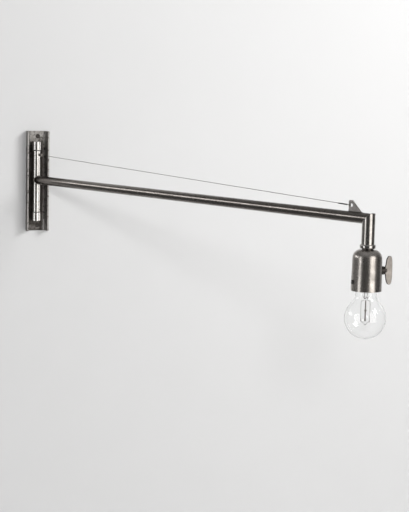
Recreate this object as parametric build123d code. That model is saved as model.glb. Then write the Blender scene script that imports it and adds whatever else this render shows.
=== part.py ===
from build123d import *
import os
from math import cos, radians, sin, tan

# Articulating wall lamp. Millimetres and degrees, +Z up. The wall is the plane Y = 0 and the
# room lies toward -Y. The origin is the centre of the wall channel's back face.

# ---------------------------------------------------------------- fits
press_gap = 0.02  # radial gap of pieces pressed, screwed or slid together for good
running_gap = 0.05  # radial gap of a shaft that turns
end_float = 0.15  # play of the pivot tube between its two collars

# ---------------------------------------------------------------- wall channel
channel_height = 184.0
channel_width = 40.0
channel_depth = 20.0
channel_wall = 2.5  # web, and the flanges at their toes
channel_root = 5.0  # flanges' thickness at the web, their inner faces sloping
channel_root_round = 4.0
channel_corner = 2.5  # outer radius of the two back corners
channel_toe = 3.5  # rounding of the flanges' front ends

screw_inset = 9.5  # wall screw's axis to the channel's end
screw_side = 1.5  # wall screws' line, right of the channel's middle
screw_radius = 2.1
screw_head_radius = 4.2
screw_head_rim = 0.5  # straight edge of the head above its cone
screw_length = 35.0
screw_point = 5.0
screw_slot_width = 1.1
screw_slot_depth = 0.9

grommet_height = -30.0  # cable entry's height on the channel
grommet_radius = 5.0
grommet_bore_radius = 3.5
grommet_lip_radius = 6.2
grommet_lip = 0.9

# ---------------------------------------------------------------- pivot
pivot_x = -2.0  # pivot axis, left of the channel's middle
pivot_tube_length = 112.0
pivot_tube_radius = 8.25
pivot_tube_wall = 2.0
collar_radius = 9.5
collar_height = 16.0
collar_cap = 3.0  # closed outer end of a collar
collar_chamfer = 0.6
weld_foot_width = 9.0
pin_radius = 5.0
bush_length = 14.0
washer_radius = 7.6
washer_thickness = 1.1
wire_window_height = 12.0

# ---------------------------------------------------------------- arm
rest_swing = 25.0  # the arm's turn from straight out of the wall, at rest
arm_rise = 2.5  # arm's axis above the channel's middle
arm_length = 820.0  # pivot axis to drop tube axis
arm_radius = 7.8
arm_wall = 1.5
arm_port_radius = 4.5  # wire port from the pivot tube into the arm
drop_radius = 9.3
drop_wall = 2.3
drop_length = 36.3  # arm's axis to the drop tube's lower end
elbow_round = 12.0  # radius of the ground-off outer corner, about the elbow

# ---------------------------------------------------------------- stay
lug_thickness = 2.5
lug_back = 38.6  # lug's upright edge to the drop tube's axis
lug_front = 13.6
lug_top = 23.8  # above the arm's axis
lug_crest = 7.1  # length of the lug's top before rounding
lug_round = 3.2
lug_hole_back = 33.3
lug_hole_height = 16.75
lug_hole_radius = 2.5
cable_radius = 0.45
anchor_radius = 2.4
anchor_reach = 17.0  # anchor's tip to the pivot axis
anchor_inset = 7.3  # anchor's axis below the pivot tube's upper end
anchor_round = 0.6
ferrule_length = 19.0
ferrule_radius = 1.2
eye_length = 6.4  # ferrule to the eye's far end
eye_half_width = 2.1
eye_straight = 0.8  # the strands' straight start at the ferrule
eye_splay = 2.2  # length over which the two strands part
eye_bend = 0.9
strand_offset = 0.55

# ---------------------------------------------------------------- socket cup
ring_radius = 11.35
ring_height = 5.8
ring_round = 1.8
neck_radius = 8.0
neck_height = 1.6
nipple_radius = 5.0
nipple_bore_radius = 3.5
nipple_in_plug = 11.0
plug_length = 12.0
cup_height = 58.5
cup_shoulder = 12.0  # radius of the domed top's corner
cup_shoulder_radius = 21.0  # outer radius just below the dome
cup_mouth_radius = 21.9
cup_wall = 1.5
nut_height = 4.0
nut_radius = 8.0

# ---------------------------------------------------------------- lampholder
holder_radius = 17.5
holder_cap_gap = 0.4
holder_cap_plate = 4.0
holder_cap_height = 8.4
holder_cap_wall = 2.0
holder_lip_radius = 19.6
holder_lip_height = 4.0
holder_recess = 2.2  # holder's lower end above the cup's mouth
holder_floor = 6.0
shell_wall = 0.5
shell_bore_radius = 13.4
shell_length = 27.0
shell_flange = 3.0
shell_gap = 0.6
holder_mouth_radius = 16.6
leaf_half_length = 8.8
leaf_width = 5.0
leaf_thickness = 0.6
contact_radius = 3.0
contact_height = 2.2
terminal_offset = 11.0
terminal_head_radius = 2.6
terminal_head_height = 1.8
terminal_radius = 1.4
terminal_depth = 4.0

# ---------------------------------------------------------------- key switch and set screw
key_azimuth = -21.0  # key's heading from square to the arm, toward the drop side
key_height = 28.0  # above the cup's mouth
key_shaft_radius = 2.5
bush_radius = 6.0
bush_spigot_radius = 4.0
bush_reach = 27.8  # bush's outer face to the cup's axis
bush_round = 1.2
wing_start = 28.4
wing_width = 11.6
wing_height = 41.2
wing_thickness = 2.6
wing_round = 0.7
shaft_in_wing = 2.6
drum_radius = 4.7
drum_thickness = 3.4
drum_pocket_gap = 0.4
drum_start = 15.7
spring_width = 4.0
spring_thickness = 0.6
set_screw_height = 12.8
set_screw_radius = 2.0
set_screw_head_radius = 3.0
set_screw_head = 1.4

# ---------------------------------------------------------------- lamp wires
wire_radius = 1.1
wire_offset = 1.4  # each wire's axis to the tubes' axis
wire_back = 2.0  # wires' offset toward the wall inside the pivot tube
wire_pivot_bend = 7.0
wire_elbow_bend = 12.0
wire_end_bend = 1.9
wire_end_reach = 8.0
wire_end_drop = 2.0

# ---------------------------------------------------------------- bulb
bulb_radius = 30.0
bulb_centre = 39.8  # sphere's centre below the cup's mouth
bulb_cone_angle = 36.9
bulb_neck_radius = 15.5
bulb_neck_start_radius = 15.0
bulb_neck_start = 1.2  # below the cup's mouth, negative above it
bulb_throat_radius = 12.65
bulb_throat_end = -7.4
bulb_throat_start = -11.7
bulb_glass = 0.9
bulb_cone_blend = 13.0
cap_tip = 35.2  # contact tip above the cup's mouth
cap_tip_radius = 4.8
cap_tip_height = 1.8
cap_insulator_height = 4.6
cap_crest_radius = 13.1
cap_root_radius = 12.2
cap_bore_radius = 11.7
cap_pitch = 3.6
cap_turns = 4
cap_skirt_end = -7.8  # cap's lower edge, from the cup's mouth
cap_skirt_height = 4.6
stem_radius = 4.6
stem_wall = 0.8
stem_flare_height = 6.0
stem_end = 9.0  # tube's lower end below the cup's mouth
press_length = 5.5
press_radius = 2.3
rod_radius = 0.9
rod_end = 42.4
rod_button = 28.3
rod_button_radius = 2.0
rod_button_height = 1.2
rod_ball_radius = 1.5
lead_radius = 0.35
lead_spread = 6.4
lead_end = 44.0
lead_start = 1.2
lead_splay = 3.2
lead_bend = 1.8
lead_turn = -48.0  # heading of the two leads' plane, from square to the arm
filament_radius = 0.3
filament_dip = 5.2
filament_side_dip = 1.7
filament_bow = 3.0
hook_radius = 0.2

# ---------------------------------------------------------------- places worked out from the above
pivot_y = -(channel_wall + collar_radius)
pivot_half = pivot_tube_length / 2
anchor_height = pivot_half - arm_rise - anchor_inset  # above the arm's axis
pivot_tube_bore = pivot_tube_radius - pivot_tube_wall
arm_bore = arm_radius - arm_wall
drop_bore = drop_radius - drop_wall
ring_top = -drop_length
ring_bottom = ring_top - ring_height
cup_top = ring_bottom - neck_height
cup_mouth = cup_top - cup_height
nut_top = cup_top - cup_wall
nut_bottom = nut_top - nut_height
holder_cap_top = nut_bottom - holder_cap_gap
holder_cap_under = holder_cap_top - holder_cap_plate
holder_top = holder_cap_top - holder_cap_height
holder_bottom = cup_mouth + holder_recess
holder_roof = holder_top - holder_floor
key_z = cup_mouth + key_height
cup_taper = (cup_mouth_radius - cup_shoulder_radius) / (cup_height - cup_shoulder)

arm_frame = Pos(pivot_x, pivot_y, arm_rise) * Rot(0, 0, rest_swing)
head_frame = arm_frame * Pos(0, -arm_length, 0)
key_frame = head_frame * Pos(0, 0, key_z) * Rot(0, 0, key_azimuth)
bulb_frame = head_frame * Pos(0, 0, cup_mouth)


# ---------------------------------------------------------------- helpers
def rod_z(radius, low, high):
    """Upright cylinder on the local Z axis between two heights."""
    return Pos(0, 0, (low + high) / 2) * Cylinder(radius, abs(high - low))


def ring_z(radius, bore, low, high):
    return rod_z(radius, low, high) - rod_z(bore, low, high)


def rod_x(radius, start, end):
    """Cylinder on the local X axis."""
    return Pos((start + end) / 2, 0, 0) * Rot(0, 90, 0) * Cylinder(radius, abs(end - start))


def rod_y(radius, start, end):
    """Cylinder on the local Y axis."""
    return Pos(0, (start + end) / 2, 0) * Rot(90, 0, 0) * Cylinder(radius, abs(end - start))


def block(x_low, x_high, y_low, y_high, z_low, z_high):
    centre = Pos((x_low + x_high) / 2, (y_low + y_high) / 2, (z_low + z_high) / 2)
    return centre * Box(x_high - x_low, y_high - y_low, z_high - z_low)


def turned(*lines):
    """Solid turned about the local Z axis from an outline of (radius, height) lines."""
    outline = make_face(Curve() + list(lines))
    return revolve(Plane.XZ * outline, Axis.Z)


def turned_polygon(*points):
    return turned(Polyline(*points, close=True))


def wire(points, radius, bends):
    """Round wire along straight runs joined by tangent arcs."""
    path = FilletPolyline(*points, radius=bends)
    return sweep((path ^ 0) * Circle(radius), path=path)


def slotted(head, width, depth, span, face_x):
    """Cuts a screwdriver slot into a head whose outer face is at face_x on the X axis."""
    return head - block(face_x - depth, face_x + depth, -span, span, -width / 2, width / 2)


# ---------------------------------------------------------------- bracket on the wall
def wall_channel():
    outer = Pos(0, -channel_depth / 2) * Rectangle(channel_width, channel_depth)
    outer = fillet(outer.vertices().group_by(Axis.Y)[-1], channel_corner)
    toe_half = channel_width / 2 - channel_wall
    root_half = channel_width / 2 - channel_root
    toes = [(toe_half, -channel_depth), (-toe_half, -channel_depth)]
    inner = make_face(Polyline((-root_half, -channel_wall), (root_half, -channel_wall), *toes, close=True))
    inner = fillet(inner.vertices().group_by(Axis.Y)[-1], channel_root_round)
    body = extrude(outer - inner, channel_height / 2, both=True)
    ends = body.edges().filter_by(Axis.X).group_by(Axis.Y)[0]
    body = fillet(ends, channel_toe)
    for height in screw_heights():
        body -= Pos(screw_side, 0, height) * screw_body(press_gap, 0)
    return body - Pos(pivot_x, 0, grommet_height) * rod_y(grommet_radius, -2 * channel_wall, channel_wall)


def screw_heights():
    reach = channel_height / 2 - screw_inset
    return reach, -reach


def screw_body(gap, slot_depth):
    """Countersunk wood screw along +Y, its head flush with the web's inner face."""
    radius = screw_radius + gap
    head = screw_head_radius + gap
    rim = screw_head_rim - channel_wall
    shoulder = rim + head - radius
    tip = screw_length - channel_wall
    screw = Rot(-90, 0, 0) * turned_polygon(
        (0, -channel_wall),
        (head, -channel_wall),
        (head, rim),
        (radius, shoulder),
        (radius, tip - screw_point),
        (0, tip),
    )
    if slot_depth > 0:
        face = -channel_wall
        half = screw_slot_width / 2
        screw -= block(-screw_head_radius, screw_head_radius, face, face + slot_depth, -half, half)
    return screw


def wall_screws():
    return [Pos(screw_side, 0, height) * screw_body(0, screw_slot_depth) for height in screw_heights()]


def web_grommet():
    lip_face = -channel_wall - grommet_lip
    ring = rod_y(grommet_radius - press_gap, -channel_wall, 0)
    ring += rod_y(grommet_lip_radius, lip_face, -channel_wall)
    return Pos(pivot_x, 0, grommet_height) * (ring - rod_y(grommet_bore_radius, lip_face, 0))


def pivot_collar(inner_end, outward):
    """Welded boss with a blind bore that faces the pivot tube. outward is 1 up, -1 down."""
    outer_end = inner_end + outward * collar_height
    bore_end = outer_end - outward * collar_cap
    boss = rod_z(collar_radius, inner_end, outer_end)
    boss = chamfer(boss.edges().filter_by(GeomType.CIRCLE), collar_chamfer)
    low, high = sorted((inner_end + outward * collar_chamfer, outer_end - outward * collar_chamfer))
    half = weld_foot_width / 2
    foot_front = collar_radius - channel_wall
    foot = block(-half, half, foot_front, collar_radius, low, high)
    bore = rod_z(pin_radius + press_gap, inner_end, bore_end)
    return Pos(pivot_x, pivot_y, 0) * (boss + foot - bore)


def lower_seat():
    return -pivot_half - washer_thickness


def upper_seat():
    return pivot_half + washer_thickness + end_float


def pivot_pin(seat, outward):
    collar_depth = collar_height - collar_cap
    bush_end = outward * (pivot_half - bush_length)
    return Pos(pivot_x, pivot_y, 0) * rod_z(pin_radius, bush_end, seat + outward * collar_depth)


def thrust_washer(face, outward):
    bore = pin_radius + running_gap
    return ring_z(washer_radius, bore, face, face + outward * washer_thickness)


# ---------------------------------------------------------------- swinging arm, in the arm's frame
def pivot_tube():
    low = -pivot_half - arm_rise
    tube = ring_z(pivot_tube_radius, pivot_tube_bore, low, low + pivot_tube_length)
    tube -= rod_y(arm_port_radius, -2 * pivot_tube_radius, 0)
    window = grommet_height - arm_rise
    half = wire_window_height / 2
    reach = 2 * pivot_tube_radius
    return tube - block(-reach, reach, wire_back, reach, window - half, window + half)


def pivot_bush(outward):
    tube_end = outward * pivot_half - arm_rise
    inner_end = tube_end - outward * bush_length
    return ring_z(pivot_tube_bore - press_gap, pin_radius + running_gap, inner_end, tube_end)


def elbow_plane():
    """Plane of the mitre, facing the arm's side of the joint."""
    return Plane(origin=(0, -arm_length, 0), z_dir=(0, 1, 1))


def arm_tube():
    far_end = -arm_length - 2 * drop_radius
    tube = rod_y(arm_radius, far_end, 0) - rod_y(arm_bore, far_end, 0)
    tube -= rod_z(pivot_tube_radius, -2 * arm_radius, 2 * arm_radius)
    return split(tube, bisect_by=elbow_plane(), keep=Keep.TOP).solids().sort_by(SortBy.VOLUME)[-1]


def drop_tube():
    top = 2 * drop_radius
    tube = ring_z(drop_radius, drop_bore, -drop_length, top)
    corner = block(-top, top, -top, top, 0, top) - Sphere(elbow_round)
    tube = Pos(0, -arm_length, 0) * (tube - corner)
    return split(tube, bisect_by=elbow_plane(), keep=Keep.BOTTOM)


def cable_lug():
    """Upright gusset plate on top of the arm, saddled to the tube."""
    back, front = lug_back - arm_length, lug_front - arm_length
    sunk = arm_radius * cos(radians(30))
    crest_end = back - lug_crest
    corners = [(back, sunk), (back, lug_top), (crest_end, lug_top), (front, arm_radius), (front, sunk)]
    face = make_face(Polyline(*corners, close=True))
    crest = face.vertices().group_by(Axis.Y)[-1]
    face = fillet(crest, lug_round)
    hole = Pos(lug_hole_back - arm_length, lug_hole_height) * Circle(lug_hole_radius)
    plate = extrude(Plane.YZ * (face - hole), lug_thickness / 2, both=True)
    return plate - rod_y(arm_radius, -arm_length, 0)


def stay_anchor():
    stud = rod_y(anchor_radius, -anchor_reach, 0)
    stud = fillet(stud.edges().filter_by(GeomType.CIRCLE).group_by(Axis.Y)[0], anchor_round)
    stud = Pos(0, 0, anchor_height) * stud
    return stud - rod_z(pivot_tube_radius, 0, 2 * anchor_height)


def stay_line():
    """Plane at the anchor's tip whose Z runs along the stay, and the length to the eye's end."""
    tip = Vector(0, -anchor_reach, anchor_height)
    eye_y = lug_hole_back + lug_hole_radius - cable_radius - running_gap - arm_length
    run = Vector(0, eye_y, lug_hole_height) - tip
    return Plane(origin=tip, x_dir=(1, 0, 0), z_dir=run), run.length


def stay_cable():
    plane, length = stay_line()
    start = anchor_radius * running_gap
    return plane * rod_z(cable_radius, start, length - eye_length - ferrule_length)


def stay_ferrule():
    plane, length = stay_line()
    end = length - eye_length
    body = rod_z(ferrule_radius, end - ferrule_length, end)
    body = fillet(body.edges().filter_by(GeomType.CIRCLE), ferrule_radius / 4)
    return plane * body


def stay_eye():
    """Loop of the cable through the lug's hole, both strands ending on the ferrule."""
    plane, length = stay_line()
    start = length - eye_length
    parting = start + eye_straight
    side = [
        (strand_offset, 0, start),
        (strand_offset, 0, parting),
        (eye_half_width, 0, parting + eye_splay),
        (eye_half_width, 0, length),
    ]
    mirrored = [(-x, y, z) for x, y, z in reversed(side)]
    return plane * wire(side + mirrored, cable_radius, eye_bend)


# ---------------------------------------------------------------- head, in the drop tube's frame
def drop_plug():
    top = ring_top + plug_length
    return ring_z(drop_bore - press_gap, nipple_radius + press_gap, ring_top, top)


def thread_nipple():
    return ring_z(nipple_radius, nipple_bore_radius, holder_cap_under, ring_top + nipple_in_plug)


def collar_ring():
    body = rod_z(ring_radius, ring_bottom, ring_top)
    body = fillet(body.edges().filter_by(GeomType.CIRCLE), ring_round)
    return body - rod_z(nipple_radius + press_gap, ring_bottom, ring_top)


def neck_spacer():
    return ring_z(neck_radius, nipple_radius + press_gap, cup_top, ring_bottom)


def cup_solid(inset):
    """Domed, slightly flared body of the cup, its wall moved inward by the inset."""
    shoulder = cup_shoulder - inset
    flat = cup_shoulder_radius - cup_shoulder
    top = cup_top - inset
    return turned(
        Line((0, cup_mouth), (0, top)),
        Line((0, top), (flat, top)),
        CenterArc((flat, cup_top - cup_shoulder), shoulder, 0, 90),
        Line((cup_shoulder_radius - inset, cup_top - cup_shoulder), (cup_mouth_radius - inset, cup_mouth)),
        Line((cup_mouth_radius - inset, cup_mouth), (0, cup_mouth)),
    )


def socket_cup():
    cup = cup_solid(0) - cup_solid(cup_wall)
    cup -= rod_z(nipple_radius + press_gap, cup_top - 2 * cup_wall, cup_top)
    side = rod_x(bush_spigot_radius + press_gap, holder_radius, 2 * cup_mouth_radius)
    cup -= Pos(0, 0, key_z) * Rot(0, 0, key_azimuth) * side
    screw = rod_x(set_screw_radius + press_gap, holder_radius, 2 * cup_mouth_radius)
    return cup - set_screw_place() * screw


def set_screw_place():
    return Pos(0, 0, cup_mouth + set_screw_height) * Rot(0, 0, key_azimuth + 180)


def cup_set_screw():
    surface = cup_mouth_radius - set_screw_height * cup_taper
    end = surface + set_screw_head
    head = rod_x(set_screw_head_radius, surface - cup_wall, end)
    head = slotted(head, screw_slot_width, screw_slot_depth, set_screw_head_radius, end)
    head -= Pos(0, 0, -cup_mouth - set_screw_height) * cup_solid(0)
    shank = rod_x(set_screw_radius, holder_radius, surface + set_screw_head / 4)
    return set_screw_place() * (head + shank)


def nipple_nut():
    nut = extrude(RegularPolygon(nut_radius, 6), nut_height) - rod_z(nipple_radius + press_gap, 0, nut_height)
    return Pos(0, 0, nut_bottom) * nut


def holder_cap():
    cap = rod_z(holder_radius, holder_top, holder_cap_top)
    cap -= rod_z(holder_radius - holder_cap_wall, holder_top, holder_cap_under)
    return cap - rod_z(nipple_radius + press_gap, holder_cap_under, holder_cap_top)


def shell_radius():
    return shell_bore_radius + shell_wall


def shell_bottom():
    return holder_roof - shell_length


def holder_body():
    body = rod_z(holder_radius, holder_bottom, holder_top)
    body += rod_z(holder_lip_radius, holder_bottom, holder_bottom + holder_lip_height)
    body -= rod_z(shell_radius() + press_gap, shell_bottom(), holder_roof)
    body -= rod_z(holder_mouth_radius, holder_bottom, shell_bottom())
    for side in (-1, 1):
        hole = rod_z(terminal_radius + press_gap, holder_top - terminal_depth, holder_top)
        body -= Pos(side * terminal_offset, 0, 0) * hole
    pocket = rod_x(drum_radius + drum_pocket_gap, drum_start - drum_pocket_gap, holder_lip_radius)
    half = spring_width / 2 + press_gap
    floor = holder_radius - spring_thickness
    groove = block(floor, holder_lip_radius, -half, half, drum_radius, holder_top - key_z)
    return body - Pos(0, 0, key_z) * Rot(0, 0, key_azimuth) * (pocket + groove)


def switch_leaf():
    """Flat spring in the holder's groove, its lower end just above the drum."""
    half = spring_width / 2
    floor = holder_radius - spring_thickness
    low = drum_radius + running_gap
    strip = block(floor, holder_radius, -half, half, low, holder_top - key_z)
    return Pos(0, 0, key_z) * Rot(0, 0, key_azimuth) * strip


def screw_shell():
    flange_bottom = holder_roof - shell_gap
    shell = ring_z(shell_radius(), shell_bore_radius, shell_bottom(), holder_roof)
    return shell + ring_z(shell_radius(), shell_bore_radius - shell_flange, flange_bottom, holder_roof)


def centre_contact():
    half = leaf_width / 2
    under = holder_roof - leaf_thickness
    leaf = block(-leaf_half_length, leaf_half_length, -half, half, under, holder_roof)
    return leaf + rod_z(contact_radius, under - contact_height, under)


def terminal_screws():
    screws = []
    for side in (-1, 1):
        screw = rod_z(terminal_head_radius, holder_top, holder_top + terminal_head_height)
        screw += rod_z(terminal_radius, holder_top - terminal_depth, holder_top)
        slot = block(
            -terminal_head_radius,
            terminal_head_radius,
            -screw_slot_width / 2,
            screw_slot_width / 2,
            holder_top + terminal_head_height - screw_slot_depth,
            holder_top + terminal_head_height,
        )
        screws.append(Pos(side * terminal_offset, 0, 0) * (screw - slot))
    return screws


def lamp_wires():
    """Two insulated wires in the arm's frame, from the pivot tube's window to the lampholder."""
    start = grommet_height - arm_rise
    end = holder_cap_under - wire_end_drop
    wires = []
    for side in (-1, 1):
        x = side * wire_offset
        points = [
            (x, wire_back, start),
            (x, wire_back, 0),
            (x, -arm_length, 0),
            (x, -arm_length, end),
            (side * wire_end_reach, -arm_length, end),
        ]
        wires.append(wire(points, wire_radius, [wire_pivot_bend, wire_elbow_bend, wire_end_bend]))
    return wires


# ---------------------------------------------------------------- key switch, in the key's frame
def switch_bush():
    bush = rod_x(bush_radius, cup_shoulder_radius - cup_wall, bush_reach)
    bush = fillet(bush.edges().filter_by(GeomType.CIRCLE).group_by(Axis.X)[-1], bush_round)
    bush -= Pos(0, 0, -key_z) * cup_solid(0)
    bush += rod_x(bush_spigot_radius, cup_shoulder_radius - cup_wall, bush_reach - bush_round)
    return bush - rod_x(key_shaft_radius + running_gap, 0, 2 * bush_reach)


def key_shaft():
    return rod_x(key_shaft_radius, drum_start + drum_thickness, wing_start + shaft_in_wing)


def switch_drum():
    return rod_x(drum_radius, drum_start, drum_start + drum_thickness)


def key_wing():
    """Flat two-lobed paddle in the upright plane of the shaft, widest across the shaft."""
    half = wing_height / 2
    outer = wing_start + wing_width
    crown = wing_start + wing_width * 0.6
    lobe_inner = Spline(
        (wing_start, 0),
        (wing_start + wing_width * 0.03, half * 0.22),
        (wing_start + wing_width * 0.13, half * 0.46),
        (wing_start + wing_width * 0.21, half * 0.74),
        (wing_start + wing_width * 0.38, half * 0.94),
        (crown, half),
        tangents=[(0, 1), (1, 0)],
    )
    lobe_outer = Spline(
        (crown, half),
        (outer - wing_width * 0.1, half * 0.86),
        (outer - wing_width * 0.02, half * 0.55),
        (outer, 0),
        tangents=[(1, 0), (0, -1)],
    )
    upper = make_face(Curve() + [lobe_inner, lobe_outer, Line((outer, 0), (wing_start, 0))])
    face = upper + mirror(upper, Plane.XZ)
    plate = extrude(Plane.XZ * face, wing_thickness / 2, both=True)
    plate = fillet(plate.edges().filter_by(lambda edge: abs(edge.center().Y) > wing_round), wing_round)
    return plate - rod_x(key_shaft_radius, 0, wing_start + shaft_in_wing)


# ---------------------------------------------------------------- bulb, in the cup mouth's frame
def bulb_solid(inset):
    """Body of the glass, its surface moved inward by the inset."""
    radius = bulb_radius - inset
    tangent_r = radius * cos(radians(bulb_cone_angle))
    tangent_z = -bulb_centre + radius * sin(radians(bulb_cone_angle))
    neck = bulb_neck_radius - inset
    corner_z = tangent_z + (tangent_r - neck) / tan(radians(bulb_cone_angle))
    side = FilletPolyline(
        (bulb_neck_start_radius - inset, -bulb_neck_start),
        (neck, corner_z),
        (tangent_r, tangent_z),
        radius=bulb_cone_blend + inset,
    )
    throat = bulb_throat_radius - inset
    return turned(
        Line((0, -bulb_throat_start), (throat, -bulb_throat_start)),
        Line((throat, -bulb_throat_start), (throat, -bulb_throat_end)),
        Line((throat, -bulb_throat_end), (bulb_neck_start_radius - inset, -bulb_neck_start)),
        side,
        CenterArc((0, -bulb_centre), radius, -90, 90 + bulb_cone_angle),
        Line((0, -bulb_centre - radius), (0, -bulb_throat_start)),
    )


def bulb_glass_shell():
    return bulb_solid(0) - bulb_solid(bulb_glass)


def bulb_cap():
    """Screw cap: rounded thread crests above a plain skirt."""
    skirt_bottom = -cap_skirt_end
    skirt_top = skirt_bottom + cap_skirt_height
    outline = [(cap_crest_radius, skirt_bottom), (cap_crest_radius, skirt_top)]
    half = cap_pitch / 2
    for turn in range(cap_turns):
        base = skirt_top + turn * cap_pitch
        outline += [(cap_root_radius, base + half * 0.7), (cap_root_radius, base + half)]
        outline += [(cap_crest_radius, base + half * 1.6), (cap_crest_radius, base + cap_pitch)]
    top = skirt_top + cap_turns * cap_pitch
    seat = bulb_throat_radius + press_gap
    outline += [(cap_root_radius, top + half * 0.5), (cap_bore_radius, top + half * 0.5)]
    outline += [(cap_bore_radius, -bulb_throat_start), (seat, -bulb_throat_start), (seat, skirt_bottom)]
    return turned_polygon(*outline)


def cap_top():
    return -cap_skirt_end + cap_skirt_height + cap_turns * cap_pitch + cap_pitch / 4


def cap_insulator():
    top = cap_tip - cap_tip_height
    seat = cap_bore_radius - press_gap
    low = top - cap_insulator_height
    return turned_polygon((0, low), (seat, low), (seat, cap_top()), (cap_tip_radius, top), (0, top))


def tip_contact():
    base = cap_tip - cap_tip_height
    tip = rod_z(cap_tip_radius - cap_tip_height / 2, base, cap_tip)
    return fillet(tip.edges().filter_by(GeomType.CIRCLE).group_by(Axis.Z)[-1], cap_tip_height / 3)


def glass_stem():
    """Flared stem tube, fused to the throat above and pressed flat round the wires below."""
    top = -bulb_throat_start
    flare = bulb_throat_radius - bulb_glass - press_gap
    neck = top - stem_flare_height
    outer = turned_polygon(
        (0, top),
        (flare, top),
        (stem_radius, neck),
        (stem_radius, -stem_end),
        (press_radius, -stem_end - press_length / 2),
        (press_radius, -stem_end - press_length),
        (0, -stem_end - press_length),
    )
    inner = turned_polygon(
        (0, top),
        (flare - stem_wall, top),
        (stem_radius - stem_wall, neck),
        (stem_radius - stem_wall, -stem_end),
        (0, -stem_end),
    )
    return outer - inner


def support_rod():
    rod = rod_z(rod_radius, -rod_end, -stem_end - press_length)
    rod += rod_z(rod_button_radius, -rod_button - rod_button_height, -rod_button)
    return rod + Pos(0, 0, -rod_end) * Sphere(rod_ball_radius)


def lead_wires():
    start = -stem_end - press_length + lead_start
    turn = start - lead_splay
    wires = []
    for side in (-1, 1):
        points = [
            (side * (press_radius + lead_radius), 0, start),
            (side * lead_spread, 0, turn),
            (side * lead_spread, 0, -lead_end),
        ]
        wires.append(wire(points, lead_radius, lead_bend))
    return wires


def filament_points():
    """From one lead's tip to the other's, over three hooks in front of the rod."""
    side = (lead_spread / 2, -filament_bow, -lead_end - filament_side_dip)
    tip = (lead_spread, 0, -lead_end - lead_radius)
    middle = (0, -filament_bow, -lead_end - filament_dip)
    left = [(-x, y, z) for x, y, z in (tip, side)]
    return [*left, middle, side, tip]


def filament():
    return wire(filament_points(), filament_radius, filament_radius * 2)


def filament_hooks():
    root = Vector(0, 0, -rod_end)
    hooks = []
    for point in filament_points()[1:-1]:
        run = Vector(*point) - root
        start = root + run.normalized() * rod_ball_radius
        reach = run.length - rod_ball_radius - 3 * filament_radius
        plane = Plane(origin=start, z_dir=run)
        hooks.append(plane * rod_z(hook_radius, 0, reach))
    return hooks


# ---------------------------------------------------------------- assembly
def placed(frame, shapes):
    pieces = shapes if isinstance(shapes, list) else [shapes]
    solids = [solid for piece in pieces for solid in (frame * piece).solids()]
    return solids[0] if len(solids) == 1 else Compound(children=solids)


def build():
    wall = Pos(0, 0, 0)
    lead_frame = bulb_frame * Rot(0, 0, lead_turn)
    return {
        "wall_channel": placed(wall, wall_channel()),
        "wall_screws": placed(wall, wall_screws()),
        "web_grommet": placed(wall, web_grommet()),
        "upper_collar": placed(wall, pivot_collar(upper_seat(), 1)),
        "lower_collar": placed(wall, pivot_collar(lower_seat(), -1)),
        "upper_pin": placed(wall, pivot_pin(upper_seat(), 1)),
        "lower_pin": placed(wall, pivot_pin(lower_seat(), -1)),
        "lower_washer": placed(Pos(pivot_x, pivot_y, 0), thrust_washer(-pivot_half, -1)),
        "upper_washer": placed(Pos(pivot_x, pivot_y, 0), thrust_washer(pivot_half, 1)),
        "pivot_tube": placed(arm_frame, pivot_tube()),
        "upper_bush": placed(arm_frame, pivot_bush(1)),
        "lower_bush": placed(arm_frame, pivot_bush(-1)),
        "arm_tube": placed(arm_frame, arm_tube()),
        "drop_tube": placed(arm_frame, drop_tube()),
        "cable_lug": placed(arm_frame, cable_lug()),
        "stay_anchor": placed(arm_frame, stay_anchor()),
        "stay_cable": placed(arm_frame, stay_cable()),
        "stay_ferrule": placed(arm_frame, stay_ferrule()),
        "stay_eye": placed(arm_frame, stay_eye()),
        "lamp_wires": placed(arm_frame, lamp_wires()),
        "drop_plug": placed(head_frame, drop_plug()),
        "thread_nipple": placed(head_frame, thread_nipple()),
        "collar_ring": placed(head_frame, collar_ring()),
        "neck_spacer": placed(head_frame, neck_spacer()),
        "socket_cup": placed(head_frame, socket_cup()),
        "cup_set_screw": placed(head_frame, cup_set_screw()),
        "nipple_nut": placed(head_frame, nipple_nut()),
        "holder_cap": placed(head_frame, holder_cap()),
        "holder_body": placed(head_frame, holder_body()),
        "screw_shell": placed(head_frame, screw_shell()),
        "centre_contact": placed(head_frame, centre_contact()),
        "terminal_screws": placed(head_frame, terminal_screws()),
        "switch_leaf": placed(head_frame, switch_leaf()),
        "switch_bush": placed(key_frame, switch_bush()),
        "key_shaft": placed(key_frame, key_shaft()),
        "switch_drum": placed(key_frame, switch_drum()),
        "key_wing": placed(key_frame, key_wing()),
        "bulb_glass": placed(bulb_frame, bulb_glass_shell()),
        "bulb_cap": placed(bulb_frame, bulb_cap()),
        "cap_insulator": placed(bulb_frame, cap_insulator()),
        "tip_contact": placed(bulb_frame, tip_contact()),
        "glass_stem": placed(bulb_frame, glass_stem()),
        "support_rod": placed(bulb_frame, support_rod()),
        "lead_wires": placed(lead_frame, lead_wires()),
        "filament_hooks": placed(lead_frame, filament_hooks()),
        "filament": placed(lead_frame, filament()),
    }


os.makedirs("parts", exist_ok=True)
for node, shape in build().items():
    export_step(shape, f"parts/{node}.step")
    print(node, len(shape.solids()), "solid(s)", round(shape.volume, 1), "mm3")
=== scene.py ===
import bpy
import bmesh
import math
from mathutils import Matrix, Vector

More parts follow.
